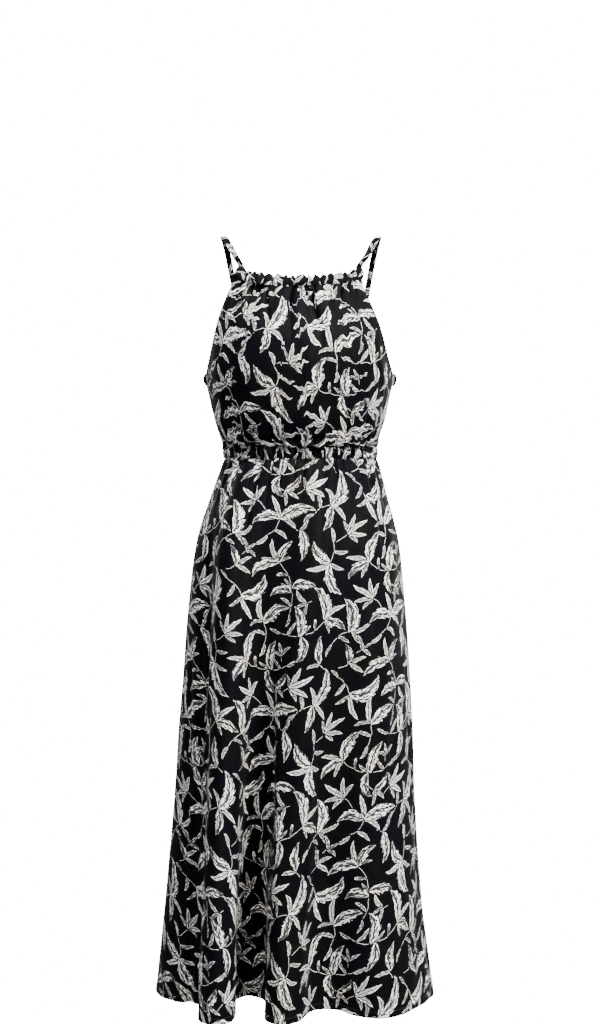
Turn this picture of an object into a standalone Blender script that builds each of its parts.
"""Strappy midi dress, hollow, in the shape it takes when it hangs from the shoulders.

Metres, +Z up, the front faces -Y. The origin lies midway between the two straps, at the height of
their undersides where they cross the shoulders. Every piece of cloth is a thin wall: a grid of
points worked out from the garment's own sizes, and the same grid again behind it.
"""

import math
from collections import namedtuple

import bpy
import numpy as np

# ---------------------------------------------------------------- driving sizes, metres
CLOTH = 0.0015            # wall of one layer of cloth
CASING_WALL = 0.0028      # wall of an elastic casing: two layers and the elastic
STRAP_WALL = 0.0016
STRAP_WIDTH = 0.0085
SEAM_GAP = 0.0003         # clear space left between two sewn pieces

WAIST_TOP = -0.3310       # upper and lower seam of the waist casing
WAIST_LOW = -0.3475
HEM = -1.1875             # hem at the side seams
UNDERARM = -0.2180        # top of the side seams
NECK_CENTRE = -0.0671     # top edge of the front at its middle
NECK_RISE = 0.0131        # how much higher it is at its two corners
NECK_CASING = 0.0140      # height of the gathered neck casing
BACK_CASING = 0.0140      # height of the elastic casing across the back
BACK_RISE = 0.0115        # how much higher the back edge is at its middle
BODICE_CENTRE = -0.0025   # the bodice's middle, along X
FORM_POWER = 2.15         # roundness of the horizontal sections: 2 is an ellipse

STRAP_COLOUR = (0.016, 0.016, 0.018, 1.0)
CLOTH_COLOUR = (0.300, 0.293, 0.283, 1.0)   # black ground and ivory leaves, averaged

# Horizontal sections of the form that the cloth hangs on, from the neck to the hem.
Ring = namedtuple("Ring", "z half_width front back centre")
RINGS = [
    Ring(-0.040, 0.1270, 0.0660, 0.0700, -0.0025),
    Ring(-0.065, 0.1335, 0.0785, 0.0820, -0.0025),
    Ring(-0.090, 0.1390, 0.0930, 0.0900, -0.0025),
    Ring(-0.130, 0.1450, 0.1120, 0.0960, -0.0025),
    Ring(-0.170, 0.1480, 0.1235, 0.0985, -0.0025),
    Ring(-0.200, 0.1484, 0.1255, 0.0985, -0.0025),
    Ring(-0.228, 0.1468, 0.1235, 0.0975, -0.0025),
    Ring(-0.257, 0.1415, 0.1200, 0.0955, -0.0025),
    Ring(-0.288, 0.1345, 0.1150, 0.0925, -0.0020),
    Ring(-0.312, 0.1262, 0.1060, 0.0875, -0.0015),
    Ring(-0.331, 0.1185, 0.0930, 0.0830, -0.0010),
    Ring(-0.3475, 0.1185, 0.0930, 0.0830, -0.0010),
    Ring(-0.365, 0.1245, 0.1010, 0.0920, -0.0010),
    Ring(-0.384, 0.1310, 0.1080, 0.1010, -0.0020),
    Ring(-0.415, 0.1405, 0.1170, 0.1120, -0.0035),
    Ring(-0.446, 0.1508, 0.1240, 0.1210, -0.0040),
    Ring(-0.478, 0.1590, 0.1300, 0.1290, -0.0050),
    Ring(-0.510, 0.1640, 0.1350, 0.1350, -0.0060),
    Ring(-0.573, 0.1700, 0.1420, 0.1430, -0.0060),
    Ring(-0.699, 0.1790, 0.1520, 0.1520, -0.0072),
    Ring(-0.889, 0.1905, 0.1660, 0.1650, -0.0100),
    Ring(-1.047, 0.2030, 0.1780, 0.1770, -0.0120),
    Ring(-1.110, 0.2100, 0.1830, 0.1820, -0.0115),
    Ring(-1.1875, 0.2195, 0.1880, 0.1870, -0.0095),
]

# The front's width between the armholes, and the middle of that width.
Armhole = namedtuple("Armhole", "z half_width centre")
ARMHOLE = [
    Armhole(-0.0500, 0.0935, -0.0010),
    Armhole(-0.0640, 0.0965, -0.0025),
    Armhole(-0.0778, 0.1015, -0.0055),
    Armhole(-0.0914, 0.1072, -0.0066),
    Armhole(-0.1108, 0.1155, -0.0062),
    Armhole(-0.1400, 0.1265, -0.0048),
    Armhole(-0.1620, 0.1325, -0.0042),
    Armhole(-0.1874, 0.1385, -0.0036),
    Armhole(-0.2050, 0.1435, -0.0030),
    Armhole(-0.2180, 0.1475, -0.0025),
]

# The skirt's folds at the hem, seen from above: one row for each crest, hollow and side seam, from
# one side seam to the other. half_flat is half the width of the turn, set_back how far the ends of
# that width lie behind its middle, and rise lifts the hem there.
Turn = namedtuple("Turn", "name x y half_flat set_back rise")
FRONT_FOLDS = [
    Turn("side_seam_right", -0.2290, 0.0000, 0.0000, 0.000, 0.0000),
    Turn("side", -0.2240, -0.0420, 0.0000, 0.000, 0.0010),
    Turn("side", -0.2050, -0.0770, 0.0000, 0.000, 0.0020),
    Turn("hollow", -0.1700, -0.0985, 0.0060, 0.003, 0.0035),
    Turn("flute_1", -0.1280, -0.2120, 0.0215, 0.019, -0.0035),
    Turn("recess", -0.0775, -0.0985, 0.0120, 0.006, 0.0115),
    Turn("flute_2", -0.0265, -0.2080, 0.0210, 0.017, -0.0035),
    Turn("hollow", 0.0400, -0.1405, 0.0150, 0.003, 0.0025),
    Turn("swell", 0.1150, -0.1780, 0.0300, 0.013, -0.0015),
    Turn("side", 0.1715, -0.1310, 0.0000, 0.000, 0.0008),
    Turn("side", 0.1925, -0.0870, 0.0000, 0.000, 0.0010),
    Turn("side", 0.2060, -0.0420, 0.0000, 0.000, 0.0005),
    Turn("side_seam_left", 0.2100, 0.0000, 0.0000, 0.000, 0.0000),
]
BACK_FOLDS = [
    Turn("side_seam_left", 0.2100, 0.0000, 0.0000, 0.000, 0.0000),
    Turn("side", 0.2035, 0.0520, 0.0000, 0.000, 0.0008),
    Turn("side", 0.1860, 0.0960, 0.0000, 0.000, 0.0015),
    Turn("hollow", 0.1600, 0.1200, 0.0060, 0.002, 0.0025),
    Turn("flute_3", 0.1080, 0.1860, 0.0240, 0.014, -0.0030),
    Turn("hollow", 0.0440, 0.1400, 0.0130, 0.003, 0.0040),
    Turn("flute_4", -0.0220, 0.1950, 0.0250, 0.014, -0.0035),
    Turn("hollow", -0.0930, 0.1340, 0.0130, 0.003, 0.0040),
    Turn("flute_5", -0.1490, 0.1640, 0.0170, 0.009, -0.0020),
    Turn("side", -0.1900, 0.1180, 0.0000, 0.000, 0.0000),
    Turn("side", -0.2130, 0.0810, 0.0000, 0.000, 0.0010),
    Turn("side", -0.2255, 0.0420, 0.0000, 0.000, 0.0005),
    Turn("side_seam_right", -0.2290, 0.0000, 0.0000, 0.000, 0.0000),
]

# The free stretch of the strap's middle line, on the wearer's left; the other strap mirrors it.
# turn is the way its flat side faces, in degrees from straight across the body.
StrapPoint = namedtuple("StrapPoint", "x y z turn")
STRAP = [
    StrapPoint(0.1020, -0.0500, -0.0350, 26.0),
    StrapPoint(0.1115, -0.0375, -0.0160, 16.0),
    StrapPoint(0.1185, -0.0200, -0.0035, 8.0),
    StrapPoint(0.1225, 0.0000, 0.0016, 0.0),      # over the shoulder
    StrapPoint(0.1215, 0.0205, -0.0045, -6.0),
    StrapPoint(0.1180, 0.0400, -0.0195, -12.0),
    StrapPoint(0.1120, 0.0600, -0.0520, -18.0),
    StrapPoint(0.1040, 0.0750, -0.1000, -24.0),
    StrapPoint(0.0965, 0.0820, -0.1500, -30.0),
]
NECK_ANCHOR_INSET = 0.0010    # the strap's middle, in from the neck casing's end
BACK_ANCHOR_X = 0.0905        # the strap's middle where it is sewn behind the back casing

# ---------------------------------------------------------------- curves


def spline(at, values, t):
    """Smooth values at t through a table's rows, with no overshoot between them."""
    at, values, t = (np.asarray(v, float) for v in (at, values, t))
    if at[0] > at[-1]:
        at, values = at[::-1], values[::-1]
    step = np.diff(at)
    slope = np.diff(values) / step
    m = np.zeros_like(values)
    same = slope[:-1] * slope[1:] > 0
    w1, w2 = 2 * step[1:] + step[:-1], step[1:] + 2 * step[:-1]
    inner = np.zeros_like(slope[1:])
    inner[same] = (w1 + w2)[same] / (w1[same] / slope[:-1][same] + w2[same] / slope[1:][same])
    m[1:-1] = inner
    m[0], m[-1] = slope[0], slope[-1]
    i = np.clip(np.searchsorted(at, t) - 1, 0, len(at) - 2)
    s = np.clip((t - at[i]) / step[i], 0, 1)
    return (
        values[i] * (1 + 2 * s) * (1 - s) ** 2
        + values[i + 1] * s * s * (3 - 2 * s)
        + step[i] * (m[i] * s * (1 - s) ** 2 - m[i + 1] * s * s * (1 - s))
    )


def loose_spline(at, values, t):
    """A rounder curve through the rows, for the folds seen from above."""
    at, values, t = (np.asarray(v, float) for v in (at, values, t))
    m = np.gradient(values, at)
    step = np.diff(at)
    i = np.clip(np.searchsorted(at, t) - 1, 0, len(at) - 2)
    s = np.clip((t - at[i]) / step[i], 0, 1)
    return (
        values[i] * (1 + 2 * s) * (1 - s) ** 2
        + values[i + 1] * s * s * (3 - 2 * s)
        + step[i] * (m[i] * s * (1 - s) ** 2 - m[i + 1] * s * s * (1 - s))
    )


def ring(z):
    """(half width, front depth, back depth, centre) of the form at height z."""
    at = [r.z for r in RINGS]
    return tuple(
        spline(at, [getattr(r, k) for r in RINGS], z)
        for k in ("half_width", "front", "back", "centre")
    )


def on_form(angle, z, back=False):
    """The form's point at height z; angle runs from -90 degrees at the wearer's right side to 90."""
    a, front, rear, centre = ring(z)
    s, c = np.sin(angle), np.cos(angle)
    x = centre + a * np.sign(s) * np.abs(s) ** (2 / FORM_POWER)
    depth = np.abs(c) ** (2 / FORM_POWER)
    y = rear * depth if back else -front * depth
    return np.stack([x, y, z + 0 * x], -1)


def along(points, count):
    """count points spread evenly along a line of points."""
    length = np.concatenate([[0], np.cumsum(np.linalg.norm(np.diff(points, axis=0), axis=1))])
    t = np.linspace(0, length[-1], count)
    return np.stack([np.interp(t, length, points[:, k]) for k in range(points.shape[1])], -1)


# ---------------------------------------------------------------- the panels


def neck_edge(angle_share):
    """Height of the front's top edge; angle_share is -1 and 1 at its corners."""
    return NECK_CENTRE + NECK_RISE * np.abs(angle_share) ** 2.2


def armhole_x(z, side):
    """Where the front's edge lies at height z; side is -1 at the wearer's right and 1 at the left."""
    at = [r.z for r in ARMHOLE]
    half = spline(at, [r.half_width for r in ARMHOLE], z)
    return spline(at, [r.centre for r in ARMHOLE], z) + side * half


def armhole_angle(z, side):
    """The angle on the form at which the front ends, at height z."""
    a, _, _, centre = ring(z)
    share = np.clip((armhole_x(z, side) - centre) * side / a, 0, 1) ** (FORM_POWER / 2)
    return side * np.where(z <= UNDERARM, math.pi / 2, np.arcsin(share))


def front_angles(u, z):
    """Angles across the front at the height z of its edges, for u from -1 to 1."""
    right, left = armhole_angle(z, -1), armhole_angle(z, 1)
    return right + (left - right) * (u + 1) / 2


def front_rows(shares, columns):
    """Rows of the front bodice, each a share of the way from the neck casing to the waist seam."""
    u = np.linspace(-1, 1, columns)
    low = WAIST_TOP + SEAM_GAP
    top = neck_edge(u) - NECK_CASING - SEAM_GAP
    rows = []
    for v in shares:
        z = top + (low - top) * v
        rows.append(on_form(front_angles(u, np.array(z[0])), z))
    return np.array(rows)


def back_edge(angle):
    """Height of the back's top edge."""
    return UNDERARM + BACK_RISE * np.cos(angle) ** 1.3


def back_rows(shares, columns):
    angle = np.linspace(-math.pi / 2, math.pi / 2, columns)
    low = WAIST_TOP + SEAM_GAP
    top = back_edge(angle) - BACK_CASING - SEAM_GAP
    return np.array([on_form(angle, top + (low - top) * v, back=True) for v in shares])


def turn_points(folds):
    """The hem's guide points: the two ends and the middle of each turn, and each wall's middle."""
    heading = 1 if folds[-1].x > folds[0].x else -1
    points = []
    for t in folds:
        out = 1 if t.y > 0 else -1
        if t.name.endswith("hollow") or t.name == "recess":
            out = -out
        if t.half_flat:
            points.append((t.x - heading * t.half_flat, t.y - out * t.set_back, t.rise))
        points.append((t.x, t.y, t.rise))
        if t.half_flat:
            points.append((t.x + heading * t.half_flat, t.y - out * t.set_back, t.rise))
    return np.array(points)


def hem_line(folds, count):
    """The hem seen from above: x, y, rise at count points spread evenly along the cloth."""
    guide = turn_points(folds)
    t = np.concatenate([[0], np.cumsum(np.linalg.norm(np.diff(guide[:, :2], axis=0), axis=1))])
    fine = np.linspace(0, t[-1], 1200)
    line = np.stack([loose_spline(t, guide[:, k], fine) for k in range(3)], -1)
    length = np.concatenate([[0], np.cumsum(np.linalg.norm(np.diff(line[:, :2], axis=0), axis=1))])
    at = np.linspace(0, length[-1], count)
    return np.stack([np.interp(at, length, line[:, k]) for k in range(3)], -1)


def fold_share(z):
    """How far the folds have opened at height z: none at the waist, all at the hem."""
    t = np.clip((WAIST_LOW - z) / (WAIST_LOW - HEM), 0, 1)
    return t ** 0.78


def skirt_rows(folds, heights, columns, back):
    hem = hem_line(folds, columns)
    a0, f0, b0, c0 = ring(np.array(HEM))
    deep0 = b0 if back else f0
    angle = np.linspace(-math.pi / 2, math.pi / 2, columns) * (-1 if back else 1)
    rows = []
    for z in heights:
        zz = np.full(columns, z)
        plain = on_form(angle, zz, back)
        a, f, b, c = ring(np.array(z))
        deep = b if back else f
        folded = np.stack([c + (hem[:, 0] - c0) * a / a0, hem[:, 1] * deep / deep0], -1)
        k = fold_share(z)
        drop = max(0.0, (WAIST_LOW - z) / (WAIST_LOW - HEM)) ** 2
        rows.append(
            np.column_stack([(1 - k) * plain[:, :2] + k * folded, z + hem[:, 2] * drop])
        )
    return np.array(rows)


# ---------------------------------------------------------------- making the objects


def material(name, colour):
    made = bpy.data.materials.new(name)
    made.use_nodes = True
    made.diffuse_color = colour
    shader = made.node_tree.nodes["Principled BSDF"]
    shader.inputs["Base Color"].default_value = colour
    shader.inputs["Roughness"].default_value = 0.72
    shader.inputs["Metallic"].default_value = 0.0
    return made


def out_from(points, centre_y=0.0):
    flat = points[..., :2] - np.array([BODICE_CENTRE, centre_y])
    return flat / np.linalg.norm(flat, axis=-1, keepdims=True)


def grid_normals(rows, loop):
    """The outward side's unit normals of a grid of points."""
    along_row = np.gradient(rows, axis=1)
    if loop:
        along_row = (np.roll(rows, -1, axis=1) - np.roll(rows, 1, axis=1)) / 2
    down = np.gradient(rows, axis=0)
    normal = np.cross(down, along_row)
    return normal / np.linalg.norm(normal, axis=-1, keepdims=True)


def sheet(name, rows, wall, colour, inside, loop=False, sewn_sides=(False, False), sewn_rows=()):
    """A wall of cloth whose right side is a grid of points, facing away from the point inside.

    At a sewn side the wall ends on the seam's plane. At a sewn row it runs level towards the
    form's middle, as it does on the next piece, so that the clear space between the two is the
    same all through the wall.
    """
    rows = np.asarray(rows, float)
    n, m, _ = rows.shape
    normal = grid_normals(rows, loop)
    turned = np.sum(normal * (rows - np.array(inside)), axis=-1).mean() < 0
    if turned:
        normal = -normal
    for row in sewn_rows:
        normal[row, :, :2] = out_from(rows[row])
        normal[row, :, 2] = 0
    for column, sewn in ((0, sewn_sides[0]), (-1, sewn_sides[1])):
        if sewn:
            normal[:, column, 1] = 0
    normal /= np.linalg.norm(normal, axis=-1, keepdims=True)
    points = np.concatenate([rows.reshape(-1, 3), (rows - normal * wall).reshape(-1, 3)])
    back = n * m
    across = m if loop else m - 1
    faces = []
    for i in range(n - 1):
        for j in range(across):
            k = (j + 1) % m
            a, b, c, d = i * m + j, i * m + k, (i + 1) * m + k, (i + 1) * m + j
            faces += [(a, b, c, d), (back + d, back + c, back + b, back + a)]
    for j in range(across):
        k = (j + 1) % m
        low = (n - 1) * m
        faces += [(k, j, back + j, back + k), (low + j, low + k, back + low + k, back + low + j)]
    if not loop:
        for i in range(n - 1):
            a, b = i * m, (i + 1) * m
            faces.append((a, b, back + b, back + a))
            faces.append((b + m - 1, a + m - 1, back + a + m - 1, back + b + m - 1))
    if not turned:
        faces = [f[::-1] for f in faces]
    mesh = bpy.data.meshes.new(name)
    mesh.from_pydata([tuple(p) for p in points], [], faces)
    mesh.update()
    mesh.shade_smooth()
    made = bpy.data.objects.new(name, mesh)
    bpy.context.scene.collection.objects.link(made)
    made.data.materials.append(material(name, colour))
    return made


def shifted(rows, dy):
    rows = np.array(rows)
    rows[..., 1] += dy
    return rows


def clear_scene():
    for obj in list(bpy.data.objects):
        bpy.data.objects.remove(obj, do_unlink=True)


def steps(first, last, count, power=1.0):
    return first + (last - first) * np.linspace(0, 1, count) ** power


def front_bodice():
    """One panel: its sides follow the armholes down to the underarm, then the side seams."""
    corner = NECK_CENTRE + NECK_RISE - NECK_CASING - SEAM_GAP
    underarm = (UNDERARM - corner) / (WAIST_TOP + SEAM_GAP - corner)
    shares = np.concatenate([steps(0, underarm, 9), steps(underarm, 1, 6)[1:]])
    rows = shifted(front_rows(shares, 25), -SEAM_GAP / 2)
    return sheet(
        "front_bodice", rows, CLOTH, CLOTH_COLOUR, (0, 0.1, -0.2),
        sewn_sides=(True, True), sewn_rows=(0, -1),
    )


def back_bodice():
    rows = back_rows(steps(0, 1, 7), 21)
    return sheet(
        "back_bodice", shifted(rows, SEAM_GAP / 2), CLOTH, CLOTH_COLOUR, (0, -0.1, -0.28),
        sewn_sides=(True, True), sewn_rows=(0, -1),
    )


def puff(v):
    """How far a casing stands out between its two seams."""
    return 0.0016 * math.sin(math.pi * v)


def neck_casing():
    u = np.linspace(-1, 1, 25)
    rows = []
    for v in (0.0, 0.5, 1.0):
        z = neck_edge(u) - NECK_CASING * v
        points = on_form(front_angles(u, np.array(z[0])), z)
        points[:, :2] += out_from(points) * puff(v)
        rows.append(points)
    return sheet(
        "front_neck_casing", shifted(rows, -SEAM_GAP / 2), CASING_WALL, CLOTH_COLOUR, (0, 0.1, -0.06),
        sewn_rows=(-1,),
    )


def back_casing():
    angle = np.linspace(-math.pi / 2, math.pi / 2, 23)
    rows = []
    for v in (0.0, 0.5, 1.0):
        points = on_form(angle, back_edge(angle) - BACK_CASING * v, back=True)
        points[:, :2] += out_from(points) * puff(v)
        rows.append(points)
    return sheet(
        "back_top_casing", shifted(rows, SEAM_GAP / 2), CASING_WALL, CLOTH_COLOUR, (0, -0.1, -0.21),
        sewn_sides=(True, True), sewn_rows=(-1,),
    )


def waist_casing():
    count = 28
    angle = np.linspace(-math.pi / 2, math.pi / 2, count + 1)
    rows = []
    for v in (0.0, 0.5, 1.0):
        z = np.full(count + 1, WAIST_TOP - (WAIST_TOP - WAIST_LOW) * v)
        front = on_form(angle, z)[:-1]
        back = on_form(angle[::-1], z, back=True)[:-1]
        points = np.concatenate([front, back])
        points[:, :2] += out_from(points) * puff(v)
        rows.append(points)
    return sheet(
        "waist_casing", rows, CASING_WALL, CLOTH_COLOUR, (0, 0, -0.339), loop=True,
        sewn_rows=(0, -1),
    )


def anchor(x, z, side, back):
    """The strap's middle at height z, flat against the inner side of a casing: x, y, z, turn."""
    a, _, _, centre = ring(np.array(z))
    angle = side * np.arcsin(np.clip((x - centre) * side / a, 0, 1) ** (FORM_POWER / 2))
    here, there = on_form(np.array([angle, angle + side * 0.03]), np.full(2, z), back)[:, :2]
    flat = (there - here) / np.linalg.norm(there - here)
    inward = np.array([-flat[1], flat[0]]) * side * (-1 if back else 1)
    middle = here + inward * (CASING_WALL + SEAM_GAP * 2.5)
    return *middle, z, math.degrees(math.atan2(flat[1], flat[0] * side))


def strap_line(side):
    """Guide points from the foot of the neck casing over the shoulder to the foot of the back's."""
    corner = NECK_CENTRE + NECK_RISE
    neck = [
        anchor(float(armhole_x(z, side)) - side * NECK_ANCHOR_INSET, z, side, False)
        for z in (corner - NECK_CASING, corner - NECK_CASING / 2, corner)
    ]
    edge = float(back_edge(0.6))
    rear = [
        anchor(BODICE_CENTRE + side * BACK_ANCHOR_X, z, side, True)
        for z in (edge, edge - BACK_CASING / 2, edge - BACK_CASING)
    ]
    free = [(p.x * side, p.y, p.z, p.turn) for p in STRAP]
    return np.array(neck + free + rear)


def strap(name, side):
    line = strap_line(side)
    t = np.concatenate([[0], np.cumsum(np.linalg.norm(np.diff(line[:, :3], axis=0), axis=1))])
    path = np.stack([loose_spline(t, line[:, k], np.linspace(0, t[-1], 40)) for k in range(4)], -1)
    turn = np.radians(path[:, 3])
    path = path[:, :3]
    tangent = np.gradient(path, axis=0)
    tangent /= np.linalg.norm(tangent, axis=1, keepdims=True)
    across = np.stack([side * np.cos(turn), np.sin(turn), 0 * turn], -1)
    across -= tangent * np.sum(tangent * across, axis=1, keepdims=True)
    across /= np.linalg.norm(across, axis=1, keepdims=True)
    rows = np.array([path + across * STRAP_WIDTH * k for k in (-0.5, 0.0, 0.5)])
    return sheet(name, rows, STRAP_WALL, STRAP_COLOUR, (0.06 * side, 0.0, -0.12))


def skirt(name, folds, back):
    top = WAIST_LOW - SEAM_GAP
    heights = top + (HEM - top) * np.linspace(0, 1, 14) ** 1.25
    rows = skirt_rows(folds, heights, 45 if not back else 39, back)
    side = SEAM_GAP / 2 * (1 if back else -1)
    return sheet(
        name, shifted(rows, side), CLOTH, CLOTH_COLOUR, (0, 0, -0.8),
        sewn_sides=(True, True), sewn_rows=(0,),
    )


clear_scene()
garment = bpy.data.objects.new("dress", None)
bpy.context.scene.collection.objects.link(garment)
for piece in (
    front_bodice(),
    back_bodice(),
    neck_casing(),
    back_casing(),
    strap("strap_left", 1),
    strap("strap_right", -1),
    waist_casing(),
    skirt("front_skirt", FRONT_FOLDS, False),
    skirt("back_skirt", BACK_FOLDS, True),
):
    piece.parent = garment
